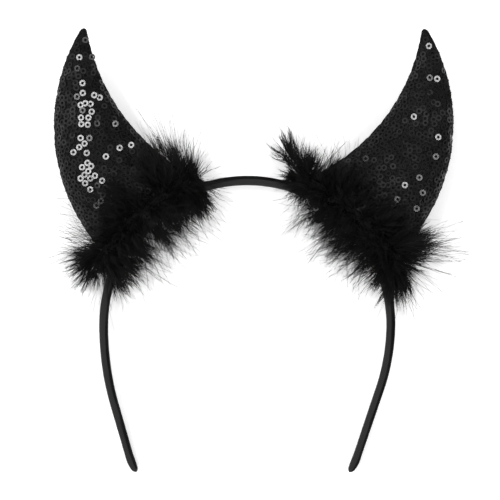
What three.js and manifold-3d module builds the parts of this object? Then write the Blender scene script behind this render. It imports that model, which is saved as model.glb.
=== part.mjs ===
// Devil horns headband: a fabric-covered arch, two stuffed horns of sequin cloth and a marabou feather
// trim tied round the foot of each horn. All lengths are in millimetres.
// Each piece is drawn in the plane of the arch, with X to the right as seen from the front, Y
// towards the horn tips and Z towards the viewer, and with the centre of the crown's curve at the origin.
// The finished headband is then laid on its back on the plane Z = 0, as it lies on a table.
import * as THREE from "three";
import { mergeVertices } from "three/addons/utils/BufferGeometryUtils.js";
import Module from "manifold-3d";

const wasm = await Module();
wasm.setup();

const degrees = Math.PI / 180;

// Headband: a half circle over the crown, then a wider arc and a straight length down each leg
const band = {
  crownRadius: 68.2, // to the middle of the band's thickness
  thickness: 4.1, // over the crown, seen from the front
  endThickness: 3.4,
  width: 6.4, // over the crown, front to back
  endWidth: 5.4,
  cornerRadius: 1.6, // of the section
  foldThickness: 0.4, // the cover is turned in at each end, which thickens it
  foldLength: 9,
  endRounding: 2,
  stations: 51,
};

// The two legs are bent a little differently
const legs = {
  left: { templeRadius: 132, templeSweep: 17.6 * degrees, straight: 33.6 },
  right: { templeRadius: 99, templeSweep: 17.2 * degrees, straight: 42 },
};

// Horn: a crescent between two arcs that meet at the tip, stuffed so that both faces bulge
const horn = {
  innerFoot: 17.2 * degrees, // where the inner edge meets the band, from straight up
  outerFoot: 66.2 * degrees,
  tipReach: 164.8, // from the centre of the crown's curve to where the two edges would meet
  tipAngle: 29.3 * degrees,
  outerBow: 21.8, // how far each edge curves off the straight line from its foot to the tip
  innerBow: 13.2,
  tipRadius: 1.7, // rounding of the tip
  depth: 20, // greatest thickness, front to back
  seamPinch: 0.62, // 0.5 gives round edges, 1 gives edges as thin as a lens
  grip: 2.6, // how far the foot reaches down over the front and back of the band
  sides: 22,
};

// The horn's sections: their place from foot to tip as a share of its length, their thickness as a
// share of horn.depth, and how much of the band's curve they follow
const hornSections = [
  { along: 0.0, depth: 0.74, curve: 1.0 },
  { along: 0.05, depth: 0.81, curve: 0.8 },
  { along: 0.1, depth: 0.88, curve: 0.6 },
  { along: 0.16, depth: 0.94, curve: 0.38 },
  { along: 0.22, depth: 0.98, curve: 0.2 },
  { along: 0.29, depth: 1.0, curve: 0.07 },
  { along: 0.36, depth: 0.99, curve: 0.0 },
  { along: 0.43, depth: 0.96, curve: 0.0 },
  { along: 0.5, depth: 0.9, curve: 0.0 },
  { along: 0.57, depth: 0.83, curve: 0.0 },
  { along: 0.64, depth: 0.74, curve: 0.0 },
  { along: 0.71, depth: 0.64, curve: 0.0 },
  { along: 0.78, depth: 0.53, curve: 0.0 },
  { along: 0.84, depth: 0.43, curve: 0.0 },
  { along: 0.9, depth: 0.32, curve: 0.0 },
  { along: 0.95, depth: 0.21, curve: 0.0 },
];
const tipDepth = 2.8; // thickness where the tip's rounding begins
const tipTurns = [0, 25, 48, 68]; // sections round the tip, in degrees

// Marabou trim: a feathered cord tied once round the foot of the horn
const trim = {
  cordRadius: 2.3,
  cordSides: 6,
  cordSteps: 26,
  rise: 5.5, // from the band's outer face to the middle of the cord
  lockLength: 25,
  lockRadius: 3.9,
  lockSides: 5,
  tufts: 13, // round the cord
  droop: 0.2, // how far a lock's end sinks, as a share of its length
  mat: 0.9, // feathers pressed between the cord and the table
};

// A lock's radius and droop along its length
const lockShape = [
  { along: 0.0, radius: 0.5, droop: 0.0 },
  { along: 0.5, radius: 1.0, droop: 0.3 },
  { along: 1.0, radius: 0.12, droop: 1.0 },
];

// A tuft's locks fan from over the band to up the horn, and each takes its length from one
// column of the reach table below
const lockFan = [
  { lean: -78 * degrees, reach: "over", share: 1.0 },
  { lean: -32 * degrees, reach: "over", share: 0.78 },
  { lean: 14 * degrees, reach: "up", share: 0.88 },
  { lean: 60 * degrees, reach: "up", share: 1.0 },
];

// How far the feathers of each trim reach, as shares of trim.lockLength, from the horn's outer
// edge (across 0) to its inner edge (across 1)
const reaches = {
  left: [
    { across: 0.0, over: 0.98, up: 0.66 },
    { across: 0.16, over: 0.92, up: 0.66 },
    { across: 0.33, over: 0.9, up: 0.7 },
    { across: 0.5, over: 1.0, up: 0.74 },
    { across: 0.67, over: 0.86, up: 0.74 },
    { across: 0.84, over: 0.84, up: 0.82 },
    { across: 1.0, over: 0.56, up: 0.66 },
  ],
  right: [
    { across: 0.0, over: 0.84, up: 0.8 },
    { across: 0.16, over: 0.84, up: 0.8 },
    { across: 0.33, over: 0.9, up: 0.74 },
    { across: 0.5, over: 0.98, up: 0.72 },
    { across: 0.67, over: 0.9, up: 0.72 },
    { across: 0.84, over: 0.7, up: 0.82 },
    { across: 1.0, over: 0.48, up: 0.76 },
  ],
};

// The two horns are sewn on by hand, so each one is turned a little along the band, drawn out or
// in at the tip, and more or less bowed
const seats = [
  { side: "left", mirror: -1, turn: 0.5 * degrees, stretch: -1.8, bow: -1 },
  { side: "right", mirror: 1, turn: -0.5 * degrees, stretch: 1.7, bow: 1 },
];

const glueGap = 0.3; // between pieces that are glued or sewn together

const cloth = (color, roughness) => new THREE.MeshStandardMaterial({ color, roughness, metalness: 0 });
const materials = {
  bandCover: cloth(0x232324, 0.7),
  sequinCloth: cloth(0x1a1a1c, 0.35),
  marabou: cloth(0x090909, 0.9),
};

// A repeatable stand-in for chance, from 0 to 1
function chance(seed) {
  const wave = Math.sin(seed * 127.1 + 11.7) * 43758.5453;
  return wave - Math.floor(wave);
}

// A value read from a table's column, between the two rows on either side of a place
function readTable(rows, placeColumn, column, place) {
  const next = Math.max(1, rows.findIndex((row) => row[placeColumn] >= place));
  const before = rows[next - 1];
  const after = rows[next];
  const share = (place - before[placeColumn]) / (after[placeColumn] - before[placeColumn]);
  return THREE.MathUtils.lerp(before[column], after[column], share);
}

// A closed skin over rings with equal numbers of points
function loft(rings) {
  const sides = rings[0].length;
  const points = rings.flat();
  const faces = [];
  for (let start = 0; start + sides < points.length; start += sides) {
    for (let i = 0; i < sides; i++) {
      const a = start + i;
      const b = start + ((i + 1) % sides);
      faces.push(a, b, b + sides, a, b + sides, a + sides);
    }
  }
  for (const [a, b, c] of capTriangles(sides)) {
    const last = points.length - sides;
    faces.push(c, b, a, last + a, last + b, last + c);
  }
  const skin = new THREE.BufferGeometry().setFromPoints(points);
  skin.setIndex(faces);
  return skin;
}

// A cap that runs as a strip from a ring's first point to the point opposite, between its two sides
function capTriangles(sides) {
  const zigzag = [0];
  for (let i = 1; zigzag.length < sides; i++) zigzag.push(i, sides - i);
  const triangles = [];
  for (let i = 0; i + 2 < sides; i++) {
    const [a, b, c] = zigzag.slice(i, i + 3);
    triangles.push(i % 2 === 0 ? [a, b, c] : [a, c, b]);
  }
  return triangles;
}

// Booleans: a closed geometry becomes a solid, and a solid becomes a geometry again
function toSolid(geometry) {
  const bare = geometry.clone();
  bare.deleteAttribute("normal");
  bare.deleteAttribute("uv");
  const merged = mergeVertices(bare, 1e-4);
  const mesh = new wasm.Mesh({
    numProp: 3,
    vertProperties: new Float32Array(merged.attributes.position.array),
    triVerts: new Uint32Array(merged.index.array),
  });
  return new wasm.Manifold(mesh);
}

function toGeometry(solid) {
  const mesh = solid.getMesh();
  const geometry = new THREE.BufferGeometry();
  geometry.setAttribute("position", new THREE.BufferAttribute(mesh.vertProperties, 3));
  geometry.setIndex(new THREE.BufferAttribute(mesh.triVerts, 1));
  geometry.computeVertexNormals();
  return geometry;
}

function largestOf(solid) {
  return solid.decompose().reduce((a, b) => (b.volume() > a.volume() ? b : a));
}

// Where a leg's arc ends and its straight length begins, and where the leg ends, drawn on the right
function legPoints(leg) {
  const centre = band.crownRadius - leg.templeRadius;
  const knee = new THREE.Vector2(Math.cos(leg.templeSweep), -Math.sin(leg.templeSweep));
  const downwards = new THREE.Vector2(knee.y, -knee.x);
  knee.multiplyScalar(leg.templeRadius);
  knee.x += centre;
  return { centre, knee, end: knee.clone().addScaledVector(downwards, leg.straight) };
}

// The band's middle line, from the end of the left leg over the crown to the end of the right
function bandMiddle() {
  const left = legPoints(legs.left);
  const right = legPoints(legs.right);
  const line = new THREE.Path();
  line.moveTo(-left.end.x, left.end.y);
  line.lineTo(-left.knee.x, left.knee.y);
  line.absarc(-left.centre, 0, legs.left.templeRadius, Math.PI + legs.left.templeSweep, Math.PI, true);
  line.absarc(0, 0, band.crownRadius, Math.PI, 0, true);
  line.absarc(right.centre, 0, legs.right.templeRadius, 0, -legs.right.templeSweep, true);
  line.lineTo(right.end.x, right.end.y);
  line.arcLengthDivisions = 2000;
  return line;
}
const middle = bandMiddle();
const bandLength = middle.getLength();
const bandOuterRadius = band.crownRadius + band.thickness / 2;

// One rounded section of the band, at a distance from its left end. spare grows it on every side.
function bandRing(distance, spare) {
  const share = distance / bandLength;
  const toEnd = Math.min(distance, bandLength - distance);
  const taper = (1 - (2 * toEnd) / bandLength) ** 2;
  const folded = toEnd < band.foldLength ? Math.sin((Math.PI * toEnd) / band.foldLength) : 0;
  const inTip = Math.min(toEnd / band.endRounding, 1);
  const close = Math.sqrt(Math.max(1 - (1 - inTip) ** 2, 0.06));
  const thickness = THREE.MathUtils.lerp(band.thickness, band.endThickness, taper);
  const width = THREE.MathUtils.lerp(band.width, band.endWidth, taper);
  const halfThick = ((thickness + band.foldThickness * folded) * close) / 2 + spare;
  const halfWide = (width * close) / 2 + spare;
  const corner = Math.min(band.cornerRadius, 0.9 * Math.min(halfThick, halfWide));
  const point = middle.getPointAt(share);
  const along = middle.getTangentAt(share);
  const ring = [];
  for (const turn of [0, 45, 90, 90, 135, 180, 180, 225, 270, 270, 315, 360]) {
    const quarter = Math.floor(ring.length / 3);
    const side = quarter === 0 || quarter === 3 ? 1 : -1;
    const face = quarter < 2 ? 1 : -1;
    const across = side * (halfThick - corner) + corner * Math.cos(turn * degrees);
    const forwards = face * (halfWide - corner) + corner * Math.sin(turn * degrees);
    ring.push(new THREE.Vector3(point.x - along.y * across, point.y + along.x * across, forwards));
  }
  return ring;
}

function bandGeometry(spare = 0) {
  const tip = [0, 0.15, 0.5, 1].map((share) => share * band.endRounding);
  const distances = [...tip];
  const between = bandLength - 2 * band.endRounding;
  for (let i = 1; i < band.stations; i++) {
    distances.push(band.endRounding + (between * i) / band.stations);
  }
  distances.push(...tip.map((distance) => bandLength - distance).reverse());
  return loft(distances.map((distance) => bandRing(distance, spare)));
}

// The room that the band takes up, as a horn or trim drawn on the right meets it on its own side
function bandRoom(seat) {
  const room = bandGeometry(glueGap);
  return toSolid(seat.mirror < 0 ? mirrored(room) : room);
}

// A point at an angle from straight up, outwards, drawn for the horn on the right
function polar(radius, angle) {
  return new THREE.Vector2(radius * Math.sin(angle), radius * Math.cos(angle));
}

// The arc between two points that curves outwards off their straight line by a given bow
function bowedArc(from, to, bow) {
  const chord = to.clone().sub(from);
  const radius = chord.lengthSq() / (8 * bow) + bow / 2;
  const outwards = new THREE.Vector2(chord.y, -chord.x).normalize();
  const centre = from.clone().add(to).divideScalar(2).addScaledVector(outwards, bow - radius);
  const angleTo = (point) => Math.atan2(point.y - centre.y, point.x - centre.x);
  return new THREE.ArcCurve(centre.x, centre.y, radius, angleTo(from), angleTo(to), false);
}

// The two edges of a horn and its length, for its row of the seats table
function hornEdges(seat) {
  const tip = polar(horn.tipReach + seat.stretch, horn.tipAngle + seat.turn);
  const outerFoot = polar(bandOuterRadius, horn.outerFoot + seat.turn);
  const innerFoot = polar(bandOuterRadius, horn.innerFoot + seat.turn);
  const length = outerFoot.clone().add(innerFoot).divideScalar(2).distanceTo(tip);
  return {
    outer: bowedArc(outerFoot, tip, horn.outerBow + seat.bow),
    inner: bowedArc(innerFoot, tip, horn.innerBow + seat.bow),
    length,
  };
}

// A lens-shaped section of a horn between its two edges. share runs from 0 at the band's outer
// face to 1 where the edges meet, and narrow closes the section round the tip.
function hornRing(edges, share, depth, curve, spare, narrow = 1) {
  const outer = edges.outer.getPoint(share);
  const inner = edges.inner.getPoint(share);
  const centre = outer.clone().add(inner).divideScalar(2);
  const across = outer.clone().sub(inner);
  const halfWidth = (across.length() / 2) * narrow + spare;
  across.normalize();
  const upwards = new THREE.Vector2(-across.y, across.x);
  const footCurve = bandOuterRadius - Math.sqrt(bandOuterRadius ** 2 - Math.min(halfWidth, bandOuterRadius) ** 2);
  const ring = [];
  for (let i = 0; i < horn.sides; i++) {
    const turn = (-2 * Math.PI * i) / horn.sides;
    const side = Math.cos(turn);
    const bulge = Math.abs(Math.sin(turn)) ** (2 * horn.seamPinch) * Math.sign(Math.sin(turn));
    const rise = footCurve * curve * (1 - side ** 2);
    const point = centre.clone().addScaledVector(across, side * halfWidth).addScaledVector(upwards, rise);
    ring.push(new THREE.Vector3(point.x, point.y, (bulge * depth) / 2 + spare * Math.sin(turn)));
  }
  return ring;
}

// The horn's sections from the foot, which grips the band, to the rounded tip
function hornRings(seat, spare) {
  const edges = hornEdges(seat);
  const halfWidthAt = (share) => edges.outer.getPoint(share).distanceTo(edges.inner.getPoint(share)) / 2;
  const footShare = -(horn.grip + spare) / edges.length;
  const nearTip = hornSections.at(-1).along;
  const halfAngle = Math.atan(halfWidthAt(nearTip) / ((1 - nearTip) * edges.length));
  const tipCentre = 1 - horn.tipRadius / Math.sin(halfAngle) / edges.length;
  const rings = [];
  for (const row of hornSections) {
    const share = THREE.MathUtils.lerp(footShare, 1, row.along);
    if (share < tipCentre) rings.push(hornRing(edges, share, row.depth * horn.depth, row.curve, spare));
  }
  for (const turn of tipTurns) {
    const angle = Math.max(turn * degrees, halfAngle);
    const share = tipCentre + ((horn.tipRadius + spare) * Math.sin(angle)) / edges.length;
    const halfWidth = horn.tipRadius * Math.cos(angle);
    const depth = tipDepth * Math.cos(angle);
    rings.push(hornRing(edges, share, depth, 0, spare * Math.cos(angle), halfWidth / halfWidthAt(share)));
  }
  return rings;
}

// The foot is grooved to sit astride the band
function hornGeometry(seat) {
  const stuffed = toSolid(loft(hornRings(seat, 0)));
  return toGeometry(largestOf(stuffed.subtract(bandRoom(seat))));
}

// The middle line of a trim's cord, which runs round the horn just above the band
function cordLoop(seat) {
  const edges = hornEdges(seat);
  const share = trim.rise / edges.length;
  const depth = horn.depth * readTable(hornSections, "along", "depth", share);
  const curve = readTable(hornSections, "along", "curve", share);
  const ring = hornRing(edges, share, depth, curve, trim.cordRadius + glueGap);
  return new THREE.CatmullRomCurve3(ring, true);
}

// The table: it touches the back of the band's ends and the feathers under both cords
function tableUnder(loops) {
  const lowest = loops.map((loop) => loop.points.reduce((a, b) => (b.z < a.z ? b : a)));
  const cordY = (lowest[0].y + lowest[1].y) / 2;
  const cordBack = Math.min(lowest[0].z, lowest[1].z) - trim.cordRadius - trim.mat;
  const bandPoints = bandGeometry().attributes.position;
  const tilt = Math.atan2(-band.endWidth / 2 - cordBack, cordY - middle.getPoint(0).y);
  let lift = -Infinity;
  for (let i = 0; i < bandPoints.count; i++) {
    const height = bandPoints.getY(i) * Math.sin(tilt) + bandPoints.getZ(i) * Math.cos(tilt);
    lift = Math.max(lift, -height);
  }
  return { tilt, lift };
}
const loops = seats.map(cordLoop);
const table = tableUnder(loops);

function tableHeight(y) {
  return -(table.lift + y * Math.sin(table.tilt)) / Math.cos(table.tilt);
}

function tableBlock() {
  const side = 8 * band.crownRadius;
  const block = new THREE.BoxGeometry(side, side, side);
  block.translate(0, 0, -side / 2 - table.lift);
  block.rotateX(-table.tilt);
  return block;
}

// The next point of a lock, which bends along the table where it meets it
function lockStep(from, heading, length, clearance) {
  const to = from.clone().addScaledVector(heading, length);
  const lowest = tableHeight(to.y) + clearance;
  if (to.z >= lowest) return to;
  const fall = Math.min(from.z - lowest, length);
  const spread = Math.sqrt(length ** 2 - fall ** 2);
  const flat = new THREE.Vector2(heading.x, heading.y).normalize().multiplyScalar(spread);
  return new THREE.Vector3(from.x + flat.x, from.y + flat.y, lowest);
}

// One lock of feathers: a curved and tapered plume
function lockGeometry(root, heading, length) {
  const path = [root];
  for (let i = 1; i < lockShape.length; i++) {
    const row = lockShape[i];
    const before = lockShape[i - 1];
    const step = (row.along - before.along) * length;
    const sinking = heading.clone();
    sinking.z -= (trim.droop * (row.droop - before.droop)) / (row.along - before.along);
    path.push(lockStep(path[i - 1], sinking.normalize(), step, 0.6 * row.radius * trim.lockRadius));
  }
  const rings = path.map((point, i) => {
    const before = path[Math.max(i - 1, 0)];
    const after = path[Math.min(i + 1, path.length - 1)];
    return roundRing(point, after.clone().sub(before).normalize(), lockShape[i].radius * trim.lockRadius);
  });
  return loft(rings);
}

function roundRing(centre, heading, radius) {
  const guide = Math.abs(heading.z) < 0.9 ? new THREE.Vector3(0, 0, 1) : new THREE.Vector3(1, 0, 0);
  const sideways = guide.cross(heading).normalize();
  const upwards = heading.clone().cross(sideways);
  const ring = [];
  for (let i = 0; i < trim.lockSides; i++) {
    const turn = (2 * Math.PI * (i + 0.5)) / trim.lockSides;
    const point = centre.clone().addScaledVector(sideways, radius * Math.sin(turn));
    ring.push(point.addScaledVector(upwards, -radius * Math.cos(turn)));
  }
  return ring;
}

// The cord with its tufts, less the room that the horn, the band and the table take up
function trimGeometry(seat, loop) {
  const cord = new THREE.TubeGeometry(loop, trim.cordSteps, trim.cordRadius, trim.cordSides, true);
  let feathers = toSolid(cord);
  const outerEnd = loop.points[0];
  const span = loop.points[horn.sides / 2].clone().sub(outerEnd);
  const centre = outerEnd.clone().addScaledVector(span, 0.5);
  for (let i = 0; i < trim.tufts; i++) {
    const place = (i + 0.5) / trim.tufts;
    const root = loop.getPointAt(place);
    const upwards = new THREE.Vector3(root.x, root.y, 0).normalize();
    const outwards = loop.getTangentAt(place).cross(upwards).normalize();
    if (outwards.dot(root.clone().sub(centre)) < 0) outwards.negate();
    const across = THREE.MathUtils.clamp(root.clone().sub(outerEnd).dot(span) / span.lengthSq(), 0, 1);
    lockFan.forEach((row, j) => {
      const seed = seat.mirror * (i * lockFan.length + j + 1);
      const lean = row.lean + 0.25 * (chance(seed) - 0.5);
      const heading = outwards.clone().multiplyScalar(Math.cos(lean)).addScaledVector(upwards, Math.sin(lean));
      heading.addScaledVector(loop.getTangentAt(place), 0.5 * (chance(seed + 0.3) - 0.5)).normalize();
      const reach = row.share * readTable(reaches[seat.side], "across", row.reach, across);
      const length = trim.lockLength * reach * (0.88 + 0.24 * chance(seed + 0.6));
      feathers = feathers.add(toSolid(lockGeometry(root, heading, length)));
    });
  }
  feathers = feathers.subtract(toSolid(loft(hornRings(seat, glueGap))));
  feathers = feathers.subtract(bandRoom(seat));
  feathers = feathers.subtract(toSolid(tableBlock()));
  return toGeometry(largestOf(feathers));
}

// The same shape on the other side, with its faces still pointing out
function mirrored(geometry) {
  const other = geometry.clone().scale(-1, 1, 1);
  const faces = Array.from(other.index.array);
  for (let i = 0; i < faces.length; i += 3) [faces[i], faces[i + 1]] = [faces[i + 1], faces[i]];
  other.setIndex(faces);
  other.computeVertexNormals();
  return other;
}

function addPiece(name, geometry, material, mirror = 1) {
  const mesh = new THREE.Mesh(mirror < 0 ? mirrored(geometry) : geometry, material);
  mesh.name = name;
  laid.add(mesh);
}

const laid = new THREE.Group();
laid.rotation.x = table.tilt;
const bandCover = bandGeometry();
bandCover.computeVertexNormals();
addPiece("band", bandCover, materials.bandCover);
seats.forEach((seat, i) => {
  addPiece(`horn_${seat.side}`, hornGeometry(seat), materials.sequinCloth, seat.mirror);
  addPiece(`marabou_${seat.side}`, trimGeometry(seat, loops[i]), materials.marabou, seat.mirror);
});

// The origin is on the table, under the middle of the headband
laid.updateMatrixWorld(true);
const extent = new THREE.Box3().setFromObject(laid, true);
const centre = extent.getCenter(new THREE.Vector3());
laid.position.set(-centre.x, -centre.y, -extent.min.z);

const headband = new THREE.Group();
headband.add(laid);
export default headband;
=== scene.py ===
import math

import bpy
import numpy as np
from mathutils import Matrix, Vector, noise


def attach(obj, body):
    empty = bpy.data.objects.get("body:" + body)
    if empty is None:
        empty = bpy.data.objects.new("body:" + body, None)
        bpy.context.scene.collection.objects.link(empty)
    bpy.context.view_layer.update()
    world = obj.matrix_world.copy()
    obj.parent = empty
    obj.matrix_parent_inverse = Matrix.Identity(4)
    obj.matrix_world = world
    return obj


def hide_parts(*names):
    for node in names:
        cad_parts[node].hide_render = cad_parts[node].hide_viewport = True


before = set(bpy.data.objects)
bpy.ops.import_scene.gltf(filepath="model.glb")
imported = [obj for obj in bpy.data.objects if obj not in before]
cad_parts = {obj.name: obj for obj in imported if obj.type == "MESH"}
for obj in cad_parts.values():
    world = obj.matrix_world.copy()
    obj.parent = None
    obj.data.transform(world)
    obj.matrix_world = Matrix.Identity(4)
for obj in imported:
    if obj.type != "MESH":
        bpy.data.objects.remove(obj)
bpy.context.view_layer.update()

# A devil horns headband, lying on its back as it lies on a table: a cloth-covered arch, two stuffed
# horns of sequin cloth and a marabou trim round the foot of each horn.
# The pieces are drawn in millimetres in the plane of the arch, with X to the right, Y to the horn
# tips, Z to the viewer and the origin in the middle of the crown's curve. laid() puts them in place.
scene = bpy.context.scene

lie = {
    "tilt": math.radians(4.998037206440432),  # crown up, because the trims lift it off the table
    "shift": (-0.6050300598144531, -35.23312771872435, 8.808420046928148),
}

headband = {
    "crownRadius": 68.2,
    "thickness": 4.1, "endThickness": 3.4,
    "width": 6.4, "endWidth": 5.4,
    "cornerRadius": 1.6,
    "foldThickness": 0.4, "foldLength": 9.0,
    "endRounding": 2.0, "endSlant": 1.9, "slantLength": 9.0,  # the outer side turns in to the end
    "cover": 0.12,  # how far the sleeve stands proud of the solid
    "legs": {"left": (132.0, 17.6, 33.6), "right": (99.0, 17.2, 42.0)},  # radius, sweep, straight
    "girth": 18.4,  # round the section
    "lapWidth": 1.3, "lapHeight": 0.16,  # the sleeve's own lap, along the inner face
    "wrinkle": 0.11,
    "stations": 280, "around": 44,
}

horn = {
    "innerFoot": 17.2, "outerFoot": 66.2,  # degrees from straight up
    "tipReach": 164.8, "tipAngle": 29.3,
    "outerBow": 21.8, "innerBow": 13.2,
    "tipRadius": 1.7, "tipDepth": 2.8,
    "depth": 20.0, "seamPinch": 0.62,
    "grip": 2.6,
    "inset": 0.28,  # room for the piped seam and the sequins inside the solid's outline
    "piping": 0.42,  # radius
    "rows": 62, "around": 44,
    "swell": 0.8,  # the most that the stuffing moves the cloth
    "sections": (  # along, thickness as a share of depth, how much of the band's curve it follows
        (0.0, 0.74, 1.0), (0.05, 0.81, 0.8), (0.1, 0.88, 0.6), (0.16, 0.94, 0.38),
        (0.22, 0.98, 0.2), (0.29, 1.0, 0.07), (0.36, 0.99, 0.0), (0.43, 0.96, 0.0),
        (0.5, 0.9, 0.0), (0.57, 0.83, 0.0), (0.64, 0.74, 0.0), (0.71, 0.64, 0.0),
        (0.78, 0.53, 0.0), (0.84, 0.43, 0.0), (0.9, 0.32, 0.0), (0.95, 0.21, 0.0),
    ),
}
seats = {
    "left": {"mirror": -1, "turn": 0.5, "stretch": -2.4, "bow": -1.0, "seed": 3, "drawnIn": 4.5},
    "right": {"mirror": 1, "turn": -0.5, "stretch": 0.6, "bow": 1.0, "seed": 8, "drawnIn": 0.5},
}  # drawnIn is how far the trim's cord is pulled in at its inner end

skyTilt = {"towards": (-0.75, -0.66, 0.0), "amount": 0.5}  # brighter low on the left

view = {
    "aim": (0.362, 35.17, 0.0),
    "distance": 1500.0,
    "halfWidth": 118.75,  # of the picture, at the aim
    "roll": 1.5,
}
lamps = {  # place in the plane of the arch, size across, and how bright its face is
    "left": {"place": (-610.0, 230.0, 1270.0), "size": 150.0, "radiance": 55.0},
    "right": {"place": (640.0, 200.0, 1260.0), "size": 140.0, "radiance": 50.0},
}


def laid(points):
    x, y, z = np.asarray(points, float).reshape(-1, 3).T
    c, s = math.cos(lie["tilt"]), math.sin(lie["tilt"])
    shift = lie["shift"]
    return np.column_stack((x + shift[0], y * c - z * s + shift[1], y * s + z * c + shift[2])) / 1000


def laidTurn(directions):
    return (laid(directions) - laid((0, 0, 0))) * 1000


def unit(vectors):
    return vectors / np.maximum(np.linalg.norm(vectors, axis=-1, keepdims=True), 1e-9)


def linearColour(text):
    channels = [int(text[i:i + 2], 16) / 255 for i in (1, 3, 5)]
    return [c / 12.92 if c <= 0.04045 else ((c + 0.055) / 1.055) ** 2.4 for c in channels] + [1.0]


# Sets a node's inputs, each to a value, or linked to a socket or to another node's first output
def setInputs(tree, node, values):
    for key, value in values.items():
        if isinstance(value, bpy.types.Node):
            value = value.outputs[0]
        if isinstance(value, bpy.types.NodeSocket):
            tree.links.new(value, node.inputs[key])
        else:
            node.inputs[key].default_value = value


# Adds one node, with its inputs, and its settings by name
def addNode(tree, kind, inputs=None, **settings):
    made = tree.nodes.new(kind)
    for name, value in settings.items():
        setattr(made, name, value)
    setInputs(tree, made, inputs or {})
    return made


def newMaterial(name):
    material = bpy.data.materials.new(name)
    material.use_nodes = True
    tree = material.node_tree
    tree.nodes.clear()
    shader = addNode(tree, "ShaderNodeBsdfPrincipled")
    addNode(tree, "ShaderNodeOutputMaterial", {"Surface": shader})
    return material, tree, shader


def colourRamp(tree, factor, stops):
    ramp = addNode(tree, "ShaderNodeValToRGB", {"Fac": factor})
    elements = ramp.color_ramp.elements
    while len(elements) < len(stops):
        elements.new(0.5)
    for element, (place, colour) in zip(elements, stops):
        element.position = place
        element.color = linearColour(colour)
    return ramp


# A new tree with a geometry input and output, and the named inputs
def newShapeTree(name, inputs):
    tree = bpy.data.node_groups.new(name, "GeometryNodeTree")
    tree.interface.new_socket("Geometry", in_out="INPUT", socket_type="NodeSocketGeometry")
    for label, (kind, value) in inputs.items():
        socket = tree.interface.new_socket(label, in_out="INPUT", socket_type="NodeSocket" + kind)
        if value is not None:
            socket.default_value = value
    tree.interface.new_socket("Geometry", in_out="OUTPUT", socket_type="NodeSocketGeometry")
    return tree, tree.nodes.new("NodeGroupInput").outputs


# Ends a tree: smooth or flat faces, real geometry and one material
def endTree(tree, given, shape, smooth):
    shaded = addNode(tree, "GeometryNodeSetShadeSmooth", {"Geometry": shape, "Shade Smooth": smooth})
    real = addNode(tree, "GeometryNodeRealizeInstances", {"Geometry": shaded})
    made = addNode(tree, "GeometryNodeSetMaterial", {"Geometry": real, "Material": given["Material"]})
    addNode(tree, "NodeGroupOutput", {"Geometry": made})
    return tree


# Runs a tree on an object and leaves the result as its plain mesh
def runShapeTree(piece, tree, values):
    shape = piece.modifiers.new("shape", "NODES")
    shape.node_group = tree
    for item in tree.interface.items_tree:
        if item.item_type == "SOCKET" and item.in_out == "INPUT" and item.name in values:
            shape[item.identifier] = values[item.name]
    keepEvaluated(piece)


def keepEvaluated(piece):
    bpy.context.view_layer.update()
    evaluated = piece.evaluated_get(bpy.context.evaluated_depsgraph_get())
    made = bpy.data.meshes.new_from_object(evaluated)
    piece.modifiers.clear()
    old = piece.data
    piece.data = made
    made.name = piece.name
    bpy.data.meshes.remove(old)


def newPiece(name, data):
    piece = bpy.data.objects.new(name, data)
    scene.collection.objects.link(piece)
    return piece


def triangleCount(piece):
    return sum(len(p.vertices) - 2 for p in piece.data.polygons)


def facesIn(points, faces):
    a, b, c = (points[[f[n] for f in faces]] for n in range(3))
    return (np.cross(a, b) * c).sum() < 0


# A closed skin over a grid of points, rows by columns, with its seam at column 0 and its own map
# in millimetres. across and along give each ring's and each row's place on the map.
def skinMesh(name, grid, across, along):
    rows, columns = grid.shape[:2]
    points = np.vstack((grid.reshape(-1, 3), grid[0].mean(0), grid[-1].mean(0)))
    faces, places = [], []
    for i in range(rows - 1):
        for j in range(columns):
            k = (j + 1) % columns
            low, high = i * columns, (i + 1) * columns
            faces.append((low + j, low + k, high + k, high + j))
            places.append(((across[i][j], along[i]), (across[i][j + 1], along[i]),
                           (across[i + 1][j + 1], along[i + 1]), (across[i + 1][j], along[i + 1])))
    for i, pole in ((0, rows * columns), (rows - 1, rows * columns + 1)):
        for j in range(columns):
            k = (j + 1) % columns
            corner = [(i * columns + j, (across[i][j], along[i])), (pole, (across[i][j], along[i])),
                      (i * columns + k, (across[i][j + 1], along[i]))]
            if i:
                corner = corner[::-1]
            faces.append(tuple(c[0] for c in corner))
            places.append(tuple(c[1] for c in corner))
    if facesIn(points, faces):
        faces = [f[::-1] for f in faces]
        places = [p[::-1] for p in places]
    mesh = bpy.data.meshes.new(name)
    mesh.from_pydata(points.tolist(), [], faces)
    cloth = mesh.uv_layers.new(name="cloth")
    cloth.data.foreach_set("uv", np.array([q for p in places for q in p]).ravel())
    mesh.polygons.foreach_set("use_smooth", [True] * len(faces))
    return mesh


def ringPlaces(grid):
    steps = np.linalg.norm(np.roll(grid, -1, axis=1) - grid, axis=2)
    return np.concatenate((np.zeros((len(grid), 1)), np.cumsum(steps, axis=1)), axis=1)


# Camera and light
def placeCamera():
    aim = np.array(view["aim"])
    roll = math.radians(view["roll"])
    facing = laidTurn((0, 0, 1))[0]
    up = laidTurn((-math.sin(roll), math.cos(roll), 0))[0]
    right = np.cross(up, facing)
    place = laid(aim)[0] + facing * view["distance"] / 1000
    data = bpy.data.cameras.new("frontCamera")
    data.angle = 2 * math.atan(view["halfWidth"] / view["distance"])
    data.clip_end = 20
    camera = newPiece("frontCamera", data)
    turn = Matrix([(right[i], up[i], facing[i]) for i in range(3)])
    camera.matrix_world = Matrix.Translation(Vector(place)) @ turn.to_4x4()
    scene.camera = camera


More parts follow.
